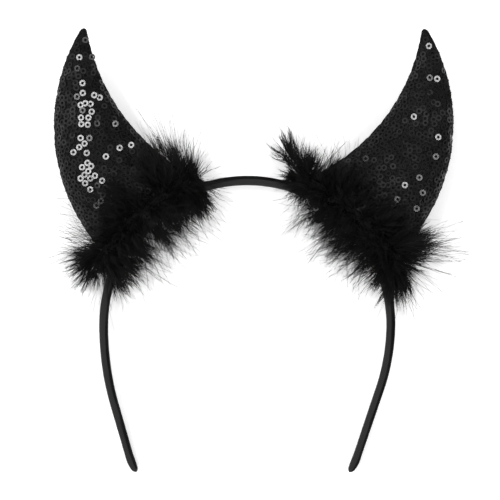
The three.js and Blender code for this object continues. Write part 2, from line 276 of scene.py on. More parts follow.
def placeLamps():
    for name, lamp in lamps.items():
        size = lamp["size"] / 1000
        data = bpy.data.lights.new(name + "Softbox", "AREA")
        data.shape = "SQUARE"
        data.size = size
        data.energy = lamp["radiance"] * math.pi * size ** 2
        box = newPiece(name + "Softbox", data)
        place = Vector(laid(lamp["place"])[0])
        aim = Vector(laid(view["aim"])[0])
        box.rotation_euler = (aim - place).to_track_quat("-Z", "Y").to_euler()
        box.location = place
    world = bpy.data.worlds.new("whiteStudio")
    scene.world = world
    world.use_nodes = True
    tree = world.node_tree
    ray = addNode(tree, "ShaderNodeTexCoord").outputs["Generated"]
    side = addNode(tree, "ShaderNodeVectorMath", {0: ray, 1: skyTilt["towards"]}, operation="DOT_PRODUCT")
    level = addNode(tree, "ShaderNodeMath", {0: side.outputs["Value"], 1: skyTilt["amount"], 2: 1.0},
        operation="MULTIPLY_ADD")
    setInputs(tree, tree.nodes["Background"], {"Color": linearColour("#ffffff"), "Strength": level})


floorGlow = 0.28  # keeps the floor white close to the fur, too


def placeFloor():
    side = 4.0
    mesh = bpy.data.meshes.new("floor")
    corners = [(-side, -side, 0), (side, -side, 0), (side, side, 0), (-side, side, 0)]
    mesh.from_pydata(corners, [], [(0, 1, 2, 3)])
    floor = newPiece("floor", mesh)
    # Matt white paper: even and without gloss
    material, tree, shader = newMaterial("matt white paper")
    place = addNode(tree, "ShaderNodeTexCoord").outputs["Object"]
    fibres = addNode(tree, "ShaderNodeTexNoise", {"Vector": place, "Scale": 400.0})
    tone = colourRamp(tree, fibres, [(0.3, "#f9f9f9"), (0.7, "#fcfcfc")])
    setInputs(tree, shader, {"Base Color": tone, "Roughness": 0.95, "Specular IOR Level": 0.1,
        "Emission Color": linearColour("#ffffff"), "Emission Strength": floorGlow})
    mesh.materials.append(material)


scene.view_settings.view_transform = "Standard"
placeCamera()
placeLamps()
placeFloor()
print("camera, light and floor are placed")


# Headband: one sleeve of cloth on a springy core
def legLine(radius, sweep, straight):
    sweep = math.radians(sweep)
    centre = headband["crownRadius"] - radius
    turns = np.linspace(0, sweep, 400)
    arc = np.column_stack((centre + radius * np.cos(turns), -radius * np.sin(turns)))
    tail = arc[-1] + np.outer(np.linspace(0, straight, 300)[1:], (-math.sin(sweep), -math.cos(sweep)))
    return np.vstack((arc, tail))


def bandMiddle():
    turns = np.linspace(math.pi, 0, 1500)[1:-1]
    crown = headband["crownRadius"] * np.column_stack((np.cos(turns), np.sin(turns)))
    left = legLine(*headband["legs"]["left"])[::-1] * (-1, 1)
    line = np.vstack((left, crown, legLine(*headband["legs"]["right"])))
    steps = np.linalg.norm(np.diff(line, axis=0), axis=1)
    return line, np.concatenate(([0], np.cumsum(steps)))


middleLine, middlePlaces = bandMiddle()
bandLength = middlePlaces[-1]


def bandPoint(distance):
    return np.array([np.interp(distance, middlePlaces, middleLine[:, i]) for i in (0, 1)])


# A rounded section, as evenly spaced points
def roundedSection(halfThick, halfWide, corner, count):
    turns = np.radians(np.linspace(0, 359.5, 720))
    across = np.sign(np.cos(turns)) * (halfThick - corner) + corner * np.cos(turns)
    forwards = np.sign(np.sin(turns) + 1e-9) * (halfWide - corner) + corner * np.sin(turns)
    outline = np.column_stack((across, forwards))
    outline = np.vstack((outline, outline[:1]))
    places = np.concatenate(([0], np.cumsum(np.linalg.norm(np.diff(outline, axis=0), axis=1))))
    wanted = np.arange(count) / count * places[-1]
    return np.column_stack([np.interp(wanted, places, outline[:, i]) for i in (0, 1)])


def bandGrid(stations, around, spare=0.0, worn=True):
    rounding = headband["endRounding"]
    tip = np.array([0.0, 0.04, 0.14, 0.3, 0.5, 0.75, 1.0]) * rounding
    between = np.linspace(rounding, bandLength - rounding, stations)[1:-1]
    distances = np.concatenate((tip, between, bandLength - tip[::-1]))
    grid = []
    for distance in distances:
        toEnd = min(distance, bandLength - distance)
        taper = (1 - 2 * toEnd / bandLength) ** 2
        folded = math.sin(math.pi * toEnd / headband["foldLength"]) if toEnd < headband["foldLength"] else 0
        close = math.sqrt(max(1 - (1 - min(toEnd / rounding, 1)) ** 2, 0.06))
        thickness = headband["thickness"] + (headband["endThickness"] - headband["thickness"]) * taper
        width = headband["width"] + (headband["endWidth"] - headband["width"]) * taper
        halfThick = (thickness + headband["foldThickness"] * folded) * close / 2 + spare
        halfWide = width * close / 2 + spare
        corner = min(headband["cornerRadius"], 0.9 * min(halfThick, halfWide))
        section = roundedSection(halfThick, halfWide, corner, around)
        if worn:
            section = wornSection(section, distance, toEnd, halfThick)
        slant = headband["endSlant"] * max(1 - toEnd / headband["slantLength"], 0) ** 2
        section[:, 0] = section[:, 0] * (1 - slant / (2 * halfThick + 2)) - slant / 2
        point = bandPoint(distance)
        along = unit(bandPoint(min(distance + 0.3, bandLength)) - bandPoint(max(distance - 0.3, 0)))
        outwards = np.array((-along[1], along[0]))
        flat = point + np.outer(section[:, 0], outwards)
        grid.append(np.column_stack((flat, section[:, 1])))
    return np.array(grid), distances


# The sleeve's lap on the inner face, its long shallow wrinkles and the puckers of its glued ends
def wornSection(section, distance, toEnd, halfThick):
    outwards = unit(section)
    inner = section[:, 0] < -0.7 * halfThick
    lap = np.clip(1.3 - np.abs(section[:, 1] - 0.3) / (headband["lapWidth"] / 2), 0, 1) * inner
    rise = headband["lapHeight"] * lap
    for j, (across, forwards) in enumerate(section):
        long = noise.noise(Vector((distance * 0.045, across * 0.55, forwards * 0.75)))
        short = noise.noise(Vector((distance * 0.3, across * 0.4, forwards * 0.4)) + Vector((7, 1, 3)))
        pucker = noise.noise(Vector((distance * 0.1, across * 2.2, forwards * 2.2)))
        nearEnd = max(0, 1 - toEnd / 14)
        rise[j] += headband["wrinkle"] * (0.9 * long + 0.35 * short + 1.3 * nearEnd * pucker)
    return section + outwards * rise[:, None]


def coveredBandMaterial():
    # Black polyester satin, woven and drawn tight over plastic: matt-dark, with a soft long highlight
    material, tree, shader = newMaterial("black satin-weave sleeve")
    place = addNode(tree, "ShaderNodeUVMap", uv_map="cloth")
    solid = addNode(tree, "ShaderNodeTexCoord").outputs["Object"]
    # Threads are really 0.12 mm apart; drawn 0.45 mm apart, the finest that shows
    warp, weft = (addNode(tree, "ShaderNodeTexWave", {
        "Vector": place, "Scale": 1 / (apart * 3.2), "Distortion": 0.6, "Detail": 1.0, "Detail Scale": 1.5},
        wave_type="BANDS", bands_direction=way).outputs["Fac"] for apart, way in ((0.45, "X"), (0.55, "Y")))
    weave = addNode(tree, "ShaderNodeMath", {0: warp, 1: weft}, operation="MULTIPLY")
    stretched = addNode(tree, "ShaderNodeMapping", {"Vector": place, "Scale": (0.9, 0.07, 1.0)})
    drag = addNode(tree, "ShaderNodeTexNoise", {"Vector": stretched, "Scale": 1.0, "Detail": 3.0})
    dye = addNode(tree, "ShaderNodeTexNoise", {"Vector": solid, "Scale": 90.0, "Detail": 2.0})
    tone = addNode(tree, "ShaderNodeMath", {0: weave, 1: dye}, operation="ADD")
    # Streaks along the sleeve, where the satin is drawn tight: partly painted highlight, partly uneven tone
    fine = addNode(tree, "ShaderNodeMapping", {"Vector": place, "Scale": (1.6, 0.03, 1.0)})
    streaks = addNode(tree, "ShaderNodeTexNoise", {"Vector": fine, "Scale": 1.0, "Detail": 2.0})
    drawn = addNode(tree, "ShaderNodeMath", {0: streaks, 1: 1.7, 2: tone}, operation="MULTIPLY_ADD")
    # Painted shade: the side of the sleeve that the light reaches less is darker: the inner side of the
    # left leg, and the outer side from the left horn on. The middle of the front is 2.95 mm along the map.
    spot = addNode(tree, "ShaderNodeSeparateXYZ", {"Vector": place}).outputs
    inner, outer, past = (
        addNode(tree, "ShaderNodeMapRange", {"Value": spot[axis], "From Min": low, "From Max": high})
        for axis, low, high in (("X", 3.2, 4.4), ("X", 3.1, 2.1), ("Y", 105.0, 125.0)))
    side = addNode(tree, "ShaderNodeMix", {"Factor": past, 2: inner, 3: outer})
    level = addNode(tree, "ShaderNodeMath", {0: side, 1: -1.0, 2: drawn}, operation="MULTIPLY_ADD")
    base = colourRamp(tree, level, [(0.4, "#060606"), (1.2, "#0d0d0d"), (2.1, "#292929")])
    rough = addNode(tree, "ShaderNodeMapRange", {"Value": drag, "To Min": 0.5, "To Max": 0.7})
    folds = addNode(tree, "ShaderNodeBump", {"Strength": 0.7, "Distance": 0.0005, "Height": drag})
    threads = addNode(tree, "ShaderNodeBump", {
        "Strength": 0.35, "Distance": 0.00008, "Height": weave, "Normal": folds})
    setInputs(tree, shader, {"Base Color": base, "Roughness": rough, "Specular IOR Level": 0.045,
        "Sheen Weight": 0.01, "Sheen Roughness": 0.4, "Normal": threads})
    return material


def makeBand():
    grid, distances = bandGrid(headband["stations"], headband["around"], headband["cover"])
    across = ringPlaces(grid)
    across *= headband["girth"] / across[:, -1:]
    mesh = skinMesh("band_cover", laid(grid).reshape(grid.shape), across, distances)
    mesh.materials.append(coveredBandMaterial())
    piece = newPiece("band_cover", mesh)
    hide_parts("band")
    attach(piece, "root")
    print("headband cover:", triangleCount(piece), "triangles")


makeBand()


# Horns: the same two arcs and lens-shaped sections as the solids, drawn on the right
def polar(radius, degrees):
    return radius * np.array((math.sin(math.radians(degrees)), math.cos(math.radians(degrees))))


def bowedArc(start, end, bow, shares):
    chord = end - start
    radius = chord @ chord / (8 * bow) + bow / 2
    outwards = unit(np.array((chord[1], -chord[0])))
    centre = (start + end) / 2 + outwards * (bow - radius)
    first = math.atan2(*(start - centre)[::-1])
    sweep = (math.atan2(*(end - centre)[::-1]) - first) % (2 * math.pi)
    turns = first + sweep * np.asarray(shares)
    return centre + radius * np.column_stack((np.cos(turns), np.sin(turns)))


def hornEdges(seat, shares):
    outerRadius = headband["crownRadius"] + headband["thickness"] / 2
    tip = polar(horn["tipReach"] + seat["stretch"], horn["tipAngle"] + seat["turn"])
    outerFoot = polar(outerRadius, horn["outerFoot"] + seat["turn"])
    innerFoot = polar(outerRadius, horn["innerFoot"] + seat["turn"])
    outer = bowedArc(outerFoot, tip, horn["outerBow"] + seat["bow"], shares)
    inner = bowedArc(innerFoot, tip, horn["innerBow"] + seat["bow"], shares)
    return outer, inner, np.linalg.norm((outerFoot + innerFoot) / 2 - tip)


def hornForm(seat):
    outer, inner, length = hornEdges(seat, [0.95])
    halfAngle = math.atan(np.linalg.norm(outer - inner) / 2 / (0.05 * length))
    form = {"seat": seat, "length": length, "footShare": -horn["grip"] / length,
            "tipCentre": 1 - horn["tipRadius"] / math.sin(halfAngle) / length}
    form["roundingStart"] = form["tipCentre"] + horn["tipRadius"] * math.sin(halfAngle) / length
    places = [form["footShare"] + (1 - form["footShare"]) * row[0] for row in horn["sections"]]
    form["places"] = places + [form["roundingStart"]]
    form["depths"] = [row[1] * horn["depth"] for row in horn["sections"]]
    form["depths"].append(horn["tipDepth"] * math.cos(halfAngle))
    form["curves"] = [row[2] for row in horn["sections"]] + [0.0]
    rounding = form["tipCentre"] + horn["tipRadius"] * np.sin(
        np.linspace(halfAngle, math.radians(82), 6)) / length
    main = np.linspace(form["footShare"], form["roundingStart"], horn["rows"])
    form["shares"] = np.concatenate((main, rounding[1:]))
    return form


# Middle, direction across, half width, thickness and rise of the horn's section at each share
def hornSections(form, shares):
    shares = np.asarray(shares, float)
    outer, inner, length = hornEdges(form["seat"], shares)
    centre = (outer + inner) / 2
    across = outer - inner
    half = np.linalg.norm(across, axis=1) / 2
    across = unit(across)
    depth = np.interp(shares, form["places"], form["depths"])
    inRound = np.clip((shares - form["tipCentre"]) * length / horn["tipRadius"], 0, 1)
    rounded = shares > form["roundingStart"]
    close = np.sqrt(1 - inRound ** 2)
    half = np.where(rounded, horn["tipRadius"] * close, half)
    depth = np.where(rounded, horn["tipDepth"] * close, depth)
    ground = headband["crownRadius"] + headband["thickness"] / 2
    curve = np.interp(shares, form["places"], form["curves"])
    rise = (ground - np.sqrt(ground ** 2 - np.minimum(half, ground) ** 2)) * curve
    return centre, across, half, depth, rise


def hornGrid(form, shares, turns, spare):
    centre, across, half, depth, rise = hornSections(form, shares)
    side, up = np.cos(turns), np.sin(turns)
    bulge = np.abs(up) ** (2 * horn["seamPinch"]) * np.sign(up)
    ahead = np.column_stack((-across[:, 1], across[:, 0]))
    reach = side * np.maximum(half + spare, 0.2)[:, None]
    flat = centre[:, None] + across[:, None] * reach[..., None]
    flat = flat + ahead[:, None] * (rise[:, None] * (1 - side ** 2)[None])[..., None]
    height = depth[:, None] / 2 * bulge[None] + spare * up[None]
    grid = np.dstack((flat, height))
    grid[..., 0] *= form["seat"]["mirror"]
    return grid


# The share along a horn and the place across it, from -1 to 1, of points in the plane of the arch
def locate(form, flat, count=90):
    shares = np.linspace(-0.3, 1.0, count)
    centre, across, half, depth, rise = hornSections(form, shares)
    points = flat * (form["seat"]["mirror"], 1)
    gap = points[:, None] - centre[None]
    side = (gap * across[None]).sum(2) / np.maximum(half, 0.05)[None]
    ahead = np.column_stack((-across[:, 1], across[:, 0]))
    off = (gap * ahead[None]).sum(2) - rise[None] * np.clip(1 - side ** 2, 0, 1)
    past = np.argmax(off < 0, axis=1)
    past = np.where((off < 0).any(1), np.maximum(past, 1), count - 1)
    row = np.arange(len(points))
    before, after = off[row, past - 1], off[row, past]
    part = np.clip(before / np.maximum(before - after, 1e-9), 0, 1)
    share = shares[past - 1] + part * (shares[past] - shares[past - 1])
    return share, side[row, past - 1] * (1 - part) + side[row, past] * part


# The stuffing: cloth is blown up a little inside its sewn outline, and each point's move is kept small
def stuffedGrid(form, name):
    turns = np.linspace(0, 2 * math.pi, horn["around"], endpoint=False)
    grid = hornGrid(form, form["shares"], turns, -horn["inset"])
    rows, columns = grid.shape[:2]
    move = np.zeros_like(grid)
    mesh = skinMesh(name + "Stuffing", grid / 1000, ringPlaces(grid), np.arange(rows))
    bag = newPiece(name + "Stuffing", mesh)
    sewn = bag.vertex_groups.new(name="sewn")
    for i in range(rows):
        for j in range(columns):
            toSeam = min(j, columns - j, abs(j - columns // 2))
            held = 1.0 if toSeam == 0 or i < 2 or i > rows - 4 else 0.5 if toSeam == 1 else 0.0
            if held:
                sewn.add([i * columns + j], held, "REPLACE")
    sewn.add([rows * columns, rows * columns + 1], 1.0, "REPLACE")
    cloth = bag.modifiers.new("stuffing", "CLOTH")
    cloth.settings.vertex_group_mass = "sewn"
    cloth.settings.use_pressure = True
    cloth.settings.uniform_pressure_force = 4
    cloth.settings.shrink_min = -0.03
    cloth.settings.effector_weights.gravity = 0
    for step in range(1, 21):
        scene.frame_set(step)
    evaluated = bag.evaluated_get(bpy.context.evaluated_depsgraph_get())
    found = np.zeros(len(mesh.vertices) * 3)
    evaluated.data.vertices.foreach_get("co", found)
    move = found.reshape(-1, 3)[:rows * columns].reshape(grid.shape) * 1000 - grid
    bpy.data.objects.remove(bag)
    scene.frame_set(1)
    farthest = float(np.linalg.norm(move, axis=2).max())
    print(name, "stuffing moved the cloth up to", round(farthest, 2), "mm")
    size = np.linalg.norm(move, axis=2, keepdims=True)
    move = move * np.minimum(1, horn["swell"] / np.maximum(size, 1e-6))
    for _ in range(2):
        around = np.roll(move, 1, axis=1) + np.roll(move, -1, axis=1)
        move[:, :] = 0.5 * move + 0.25 * around
    centre = grid.mean(1, keepdims=True)
    outwards = unit(grid - centre) * (0.3, 0.3, 1.0)
    seed = form["seat"]["seed"]
    for i in range(rows):
        for j in range(columns):
            place = Vector(grid[i, j]) * 0.085 + Vector((seed, 0, 0))
            lump = 0.45 * noise.noise(place) * min(1, 2.5 * abs(math.sin(turns[j])))
            move[i, j] += outwards[i, j] * lump
    return grid + move


# A place and its outward direction on the stuffed cloth
def onCloth(cloth, form, share, turn):
    rows, columns = cloth.shape[:2]
    row = np.interp(share, form["shares"], np.arange(rows))
    column = (turn % (2 * math.pi)) / (2 * math.pi) * columns

    def at(r, c):
        r = np.clip(r, 0, rows - 1.001)
        i, j = r.astype(int), np.floor(c).astype(int)
        u, v = (r - i)[:, None], (c - j)[:, None]
        j, k = j % columns, (j + 1) % columns
        low = cloth[i, j] * (1 - v) + cloth[i, k] * v
        return low * (1 - u) + (cloth[i + 1, j] * (1 - v) + cloth[i + 1, k] * v) * u

    place = at(row, column)
    around = at(row, column + 0.5) - at(row, column - 0.5)
    facing = unit(np.cross(around, at(row + 0.5, column) - at(row - 0.5, column)))
    middle = at(row, np.zeros_like(column)) / 2 + at(row, np.full_like(column, columns / 2)) / 2
    inwards = ((place - middle) * facing).sum(1) < 0
    facing[inwards] *= -1
    return place, facing


def sequinClothMaterial():
    # Black polyester knit that carries the sequins: matt, seen only between them and at the seams
    material, tree, shader = newMaterial("black polyester knit")
    place = addNode(tree, "ShaderNodeUVMap", uv_map="cloth")
    # Knitted loops are really 0.4 mm wide; drawn 0.6 mm wide, the finest that shows
    loops = addNode(tree, "ShaderNodeTexVoronoi", {"Vector": place, "Scale": 1 / 0.6}, feature="F1")
    stretched = addNode(tree, "ShaderNodeMapping", {"Vector": place, "Scale": (0.25, 0.25, 1.0)})
    dye = addNode(tree, "ShaderNodeTexNoise", {"Vector": stretched, "Detail": 2.0})
    lint = addNode(tree, "ShaderNodeTexNoise", {"Vector": place, "Scale": 1.6, "Detail": 1.0})
    grain = addNode(tree, "ShaderNodeMath", {0: dye, 1: lint}, operation="MULTIPLY")
    tone = addNode(tree, "ShaderNodeMath", {0: loops, 1: grain}, operation="MULTIPLY")
    base = colourRamp(tree, tone, [(0.01, "#262626"), (0.16, "#040404")])
    bump = addNode(tree, "ShaderNodeBump", {
        "Strength": 0.5, "Distance": 0.0001, "Height": loops}, invert=True)
    setInputs(tree, shader, {"Base Color": base, "Roughness": 0.85, "Specular IOR Level": 0.13,
        "Normal": bump})
    return material


def sequinMaterial():
    # PVC film, dyed black and punched into rings: glossy, a little cupped and scuffed
    material, tree, shader = newMaterial("glossy black PVC sequin")
    solid = addNode(tree, "ShaderNodeTexCoord").outputs["Object"]
    film = addNode(tree, "ShaderNodeTexNoise", {"Vector": solid, "Scale": 330.0, "Detail": 2.0})
    scuffs = addNode(tree, "ShaderNodeTexNoise", {"Vector": solid, "Scale": 1500.0, "Detail": 3.0})
    # Each sequin has its own painted brightness: painted reflection for the light its tilted ring gives back
    shade = addNode(tree, "ShaderNodeAttribute", attribute_name="shade").outputs["Fac"]
    tone = addNode(tree, "ShaderNodeMath", {0: film, 1: 0.35, 2: shade}, operation="MULTIPLY_ADD")
    base = colourRamp(tree, tone, [(0.2, "#010101"), (0.65, "#0a0a0a"), (1.15, "#232324")])
    rough = addNode(tree, "ShaderNodeMapRange", {
        "Value": scuffs, "From Min": 0.3, "From Max": 0.75, "To Min": 0.08, "To Max": 0.24})
    bump = addNode(tree, "ShaderNodeBump", {"Strength": 0.12, "Distance": 0.0001, "Height": film})
    setInputs(tree, shader, {"Base Color": base, "Roughness": rough, "IOR": 1.53,
        "Specular IOR Level": 0.18, "Normal": bump})
    return material


def threadMaterial():
    # Spun polyester sewing thread: dull black with a faint sheen
    material, tree, shader = newMaterial("black polyester thread")
    solid = addNode(tree, "ShaderNodeTexCoord").outputs["Object"]
    twist = addNode(tree, "ShaderNodeTexNoise", {"Vector": solid, "Scale": 2500.0, "Detail": 1.0})
    base = colourRamp(tree, twist, [(0.3, "#0b0b0b"), (0.7, "#1b1b1c")])
    setInputs(tree, shader, {"Base Color": base, "Roughness": 0.6, "Specular IOR Level": 0.3})
    return material


# Hair, barbs and stitches: each run of edges becomes a fine tube with the thickness of its points
def strandTree():
    tree, given = newShapeTree("Strands", {"Sides": ("Int", 3), "Material": ("Material", None)})
    curve = addNode(tree, "GeometryNodeMeshToCurve", {"Mesh": given["Geometry"]})
    thickness = addNode(tree, "GeometryNodeInputNamedAttribute", {"Name": "thickness"}, data_type="FLOAT")
    sized = addNode(tree, "GeometryNodeSetCurveRadius", {"Curve": curve, "Radius": thickness})
    outline = addNode(tree, "GeometryNodeCurvePrimitiveCircle", {"Resolution": given["Sides"], "Radius": 1.0})
    tube = addNode(tree, "GeometryNodeCurveToMesh", {
        "Curve": sized, "Profile Curve": outline, "Fill Caps": True})
    if "Scale" in tube.inputs:
        setInputs(tree, tube, {"Scale": thickness})
    return endTree(tree, given, tube, True)


# Sequins: one punched ring on each point, turned to its own facing
def sequinTree():
    tree, given = newShapeTree("Sequins", {
        "Width": ("Float", 0.003), "Hole": ("Float", 0.0011), "Film": ("Float", 0.00015),
        "Segments": ("Int", 12), "Material": ("Material", None)})
    total = addNode(tree, "ShaderNodeMath", {0: given["Width"], 1: given["Hole"]}, operation="ADD")
    middle = addNode(tree, "ShaderNodeMath", {0: total, 1: 0.25}, operation="MULTIPLY")
    left = addNode(tree, "ShaderNodeMath", {0: given["Width"], 1: given["Hole"]}, operation="SUBTRACT")
    wide = addNode(tree, "ShaderNodeMath", {0: left, 1: 0.5}, operation="MULTIPLY")
    circle = addNode(tree, "GeometryNodeCurvePrimitiveCircle", {
        "Resolution": given["Segments"], "Radius": middle})
    strip = addNode(tree, "GeometryNodeCurvePrimitiveQuadrilateral", {"Width": wide, "Height": given["Film"]})
    ring = addNode(tree, "GeometryNodeCurveToMesh", {"Curve": circle, "Profile Curve": strip})
    facing = addNode(tree, "GeometryNodeInputNamedAttribute", {"Name": "facing"}, data_type="FLOAT_VECTOR")
    turned = addNode(tree, "FunctionNodeAlignRotationToVector", {"Vector": facing}, axis="Z")
    sewn = addNode(tree, "GeometryNodeInstanceOnPoints", {
        "Points": given["Geometry"], "Instance": ring, "Rotation": turned})
    return endTree(tree, given, sewn, False)


# Points in metres, with edges between them and their named attributes
def pointMesh(name, points, edges, attributes):
    mesh = bpy.data.meshes.new(name)
    mesh.vertices.add(len(points))
    mesh.vertices.foreach_set("co", points.ravel())
    if len(edges):
        mesh.edges.add(len(edges))
        mesh.edges.foreach_set("vertices", edges.ravel())
    for label, values in attributes.items():
        kind, field = ("FLOAT", "value") if values.ndim == 1 else ("FLOAT_VECTOR", "vector")
        mesh.attributes.new(label, kind, "POINT").data.foreach_set(field, values.ravel())
    return mesh


# strands is a list of arrays of points in millimetres, each with its thickness and its shade
def strandPiece(name, strands, material, sides=3):
    paths = [laid(s[0].reshape(-1, 3)).reshape(s[0].shape) for s in strands]
    points = np.concatenate([p.reshape(-1, 3) for p in paths])
    edges, start = [], 0
    for path in paths:
        count, steps = path.shape[:2]
        first = start + (np.arange(count)[:, None] * steps + np.arange(steps - 1)[None]).ravel()
        edges.append(np.column_stack((first, first + 1)))
        start += count * steps
    thickness = np.concatenate([s[1].ravel() for s in strands]) / 1000
    shade = np.concatenate([s[2].ravel() for s in strands])
    piece = newPiece(name, pointMesh(name, points, np.concatenate(edges),
        {"thickness": thickness, "shade": shade}))
    runShapeTree(piece, strandShape, {"Sides": sides, "Material": material})
    return piece


strandShape = strandTree()
sequinShape = sequinTree()
clothMaterial = sequinClothMaterial()
filmMaterial = sequinMaterial()
sewingMaterial = threadMaterial()

sequin = {
    "width": 3.05, "hole": 1.4, "film": 0.14,
    "spacing": 2.45,
    "jitter": 0.45,
    "closest": 1.95,  # between the middles of two sequins
    "clearOfLit": 2.6,
    "lean": 7.0,  # degrees, how unevenly they lie
    "lift": 0.25,
    "seamMargin": 1.5,
    "clearOfGlare": 5.5,  # degrees: a sequin that isn't charted doesn't catch a softbox
    "litTurns": ((0.25, 0.6, 1.0), (3.0, 2.0, 0.4)),  # how fully lit, and degrees off its softbox
}
# The sequins that catch the light, charted: x, y and how fully (1 all of it)
litSequins = {
    "left": (
        (-81.1, 133.2, 0.25), (-78.0, 124.6, 0.25), (-84.0, 119.2, 0.25),
        (-83.3, 124.7, 1), (-81.2, 112.3, 1), (-80.8, 107.6, 1), (-75.6, 106.7, 1), (-73.1, 105.7, 1),
        (-83.5, 105.9, 0.6), (-79.5, 103.0, 1), (-81.6, 102.1, 1), (-77.0, 102.6, 1), (-76.2, 98.9, 1),
        (-80.6, 99.6, 0.6), (-81.0, 95.7, 1), (-77.5, 95.8, 1), (-80.7, 92.7, 1), (-77.7, 92.6, 1),
        (-73.3, 93.5, 0.25), (-65.0, 93.7, 0.6), (-80.8, 86.2, 1), (-76.6, 86.2, 0.6), (-78.8, 83.5, 1),
        (-81.4, 81.8, 1), (-84.1, 79.4, 1), (-77.8, 79.1, 1), (-62.3, 82.2, 1), (-57.0, 83.6, 1),
        (-68.6, 77.7, 1), (-77.4, 74.5, 1), (-75.6, 73.0, 1), (-79.9, 72.4, 1), (-77.0, 70.6, 1),
        (-78.7, 68.9, 1), (-73.8, 68.6, 1), (-80.5, 67.2, 1), (-76.0, 67.2, 1), (-70.4, 66.3, 1),
        (-78.3, 65.0, 1), (-75.9, 62.1, 1), (-72.7, 64.0, 0.25), (-70.8, 56.8, 0.25), (-72.8, 54.7, 0.25),
        (-65.0, 59.1, 0.25), (-60.2, 48.0, 0.25), (-44.8, 71.1, 0.25),
    ),
    "right": (
        (83.0, 134.6, 1), (83.4, 119.3, 0.6), (86.9, 118.9, 1), (76.2, 100.6, 1), (87.8, 91.1, 1),
        (86.9, 81.9, 0.6), (53.7, 80.0, 0.25), (79.4, 71.8, 0.6), (72.8, 68.0, 1), (81.4, 64.7, 0.6),
        (69.6, 61.2, 0.6), (78.7, 57.2, 0.6),
    ),
}


# Middles of the sequins in the plane of the arch: the charted ones, rows over both faces and a row
# along each seam. Each comes with its turn round the section and how fully it catches the light.
def sequinPlaces(form, side, cloth, rng):
    spacing = sequin["spacing"]
    low, high = cloth[..., :2].reshape(-1, 2).min(0), cloth[..., :2].reshape(-1, 2).max(0)
    lean = math.radians(form["seat"]["mirror"] * -24)
    along, across = np.meshgrid(np.arange(-90, 90), np.arange(-90, 90))
    rows = np.column_stack(((along + 0.5 * (across % 2)).ravel(), across.ravel() * math.sqrt(0.75)))
    turn = np.array(((math.cos(lean), math.sin(lean)), (-math.sin(lean), math.cos(lean))))
    flat = rows * spacing @ turn + (low + high) / 2
    flat = flat[((flat > low) & (flat < high)).all(1)]
    shares, turns, lit = [], [], []
    # The chart is as the camera sees them, and they stand 9 mm nearer to it than its aim
    chart = np.array(litSequins[side])
    aim = np.array(view["aim"][:2])
    share, place = locate(form, aim + (chart[:, :2] - aim) * (1 - 9 / view["distance"]))
    shares.append(share)
    turns.append(np.arccos(np.clip(place, -0.97, 0.97)))
    lit.append(chart[:, 2])
    for front in (1, -1):
        spots = flat + rng.normal(0, sequin["jitter"], flat.shape)
        share, place = locate(form, spots)
        half = hornSections(form, share)[2]
        inside = (np.abs(place) * half < half - sequin["seamMargin"]) & (share > -0.02)
        inside &= share < form["tipCentre"] - 0.005
        shares.append(share[inside])
        turns.append(front * np.arccos(place[inside]))
        lit.append(np.zeros(inside.sum()))
    # Where the faces turn steeply to the seam, the rows seen from the front leave room for one more
    seam = np.linspace(0.0, form["tipCentre"], 400)
    for edge in (0.0, math.pi):
        for front in (1, -1):
            for turn in (0.35, 0.5, 0.7):
                shares.append(seam)
                turns.append(np.full(seam.shape, front * abs(edge - turn)))
                lit.append(np.zeros(len(seam)))
    shares, turns, lit = (np.concatenate(x) for x in (shares, turns, lit))
    place, facing = onCloth(cloth, form, shares, turns)
    outline = [onCloth(cloth, form, seam, np.full(400, edge))[0] for edge in (0.0, math.pi)]
    outline = np.vstack(outline)
    lifted = place + facing * sequin["lift"]
    kept = []
    for i in range(len(place)):
        if lit[i] == 0:
            if np.linalg.norm(outline - place[i], axis=1).min() < sequin["seamMargin"]:
                continue
            # Seen from the front, a sequin's rim stays within the piped seam
            inFront = np.linalg.norm(outline[:, :2] - lifted[i, :2], axis=1).min()
            if inFront < 0.5 * sequin["width"] * abs(facing[i, 2]) - 0.25:
                continue
            clear = np.where(lit[kept] > 0, sequin["clearOfLit"], sequin["closest"])
            if (np.linalg.norm(place[kept] - place[i], axis=1) < clear).any():
                continue
        kept.append(i)
    return place[kept], facing[kept], lit[kept]


def tilted(facing, rng, degrees):
    # Flatter where the cloth turns to the seam
    wobble = rng.normal(0, math.tan(math.radians(degrees)), facing.shape) * facing[:, 2:] ** 2
    wobble -= (wobble * facing).sum(1, keepdims=True) * facing
    return unit(facing + wobble)


# Charted sequins face midway between the camera and their softbox. The others are turned off it.
def catchLight(place, facing, lit, side, rng):
    eye = np.array(view["aim"]) + (0, 0, view["distance"])
    toEye = unit(eye - place)
    for name, lamp in lamps.items():
        midway = unit(toEye + unit(np.array(lamp["place"]) - place))
        angle = np.degrees(np.arccos(np.clip((midway * facing).sum(1), -1, 1)))
        close = (lit == 0) & (angle < sequin["clearOfGlare"])
        away = facing - midway * (midway * facing).sum(1, keepdims=True)
        away = unit(away + rng.normal(0, 1e-4, away.shape))
        turned = unit(midway + away * math.tan(math.radians(sequin["clearOfGlare"])))
        facing = np.where(close[:, None], turned, facing)
        if name == side:
            charted = lit > 0
            off = np.interp(lit, *sequin["litTurns"])
            aside = unit(np.cross(midway, rng.normal(0, 1, midway.shape)))
            exact = unit(midway + aside * np.tan(np.radians(off))[:, None])
            facing = np.where(charted[:, None], exact, facing)
    return facing


